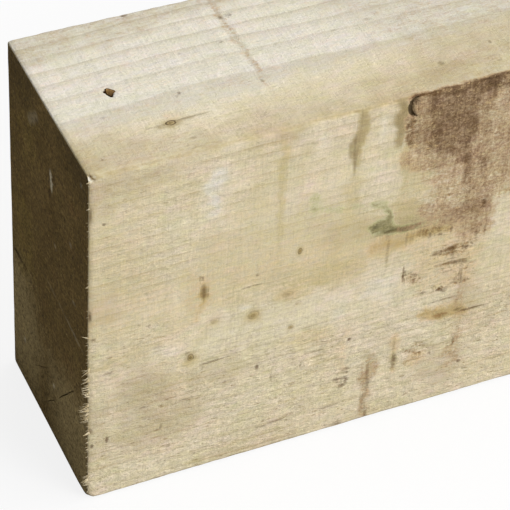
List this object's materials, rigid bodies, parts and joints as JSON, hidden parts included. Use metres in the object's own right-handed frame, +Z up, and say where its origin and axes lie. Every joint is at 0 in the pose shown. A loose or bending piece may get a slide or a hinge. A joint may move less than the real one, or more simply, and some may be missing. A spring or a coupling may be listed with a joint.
{
  "type": "railway sleeper",
  "caption": "New sawn softwood sleeper: one straight rectangular baulk with soft arrises, drying checks in its end cuts and a rough saw finish.",
  "frame": {"origin": "centre of the narrow face the sleeper stands on, at floor level", "axes": "+X along the length, away from the near end cut; +Y through the thickness, away from the wide front face; +Z up"},
  "size_m": [2.4, 0.125, 0.25],
  "materials": {
    "sawn_timber": "matt, rough sawn, untreated"
  },
  "bodies": {
    "root": {"sleeper": "sawn_timber"}
  },
  "joints": []
}
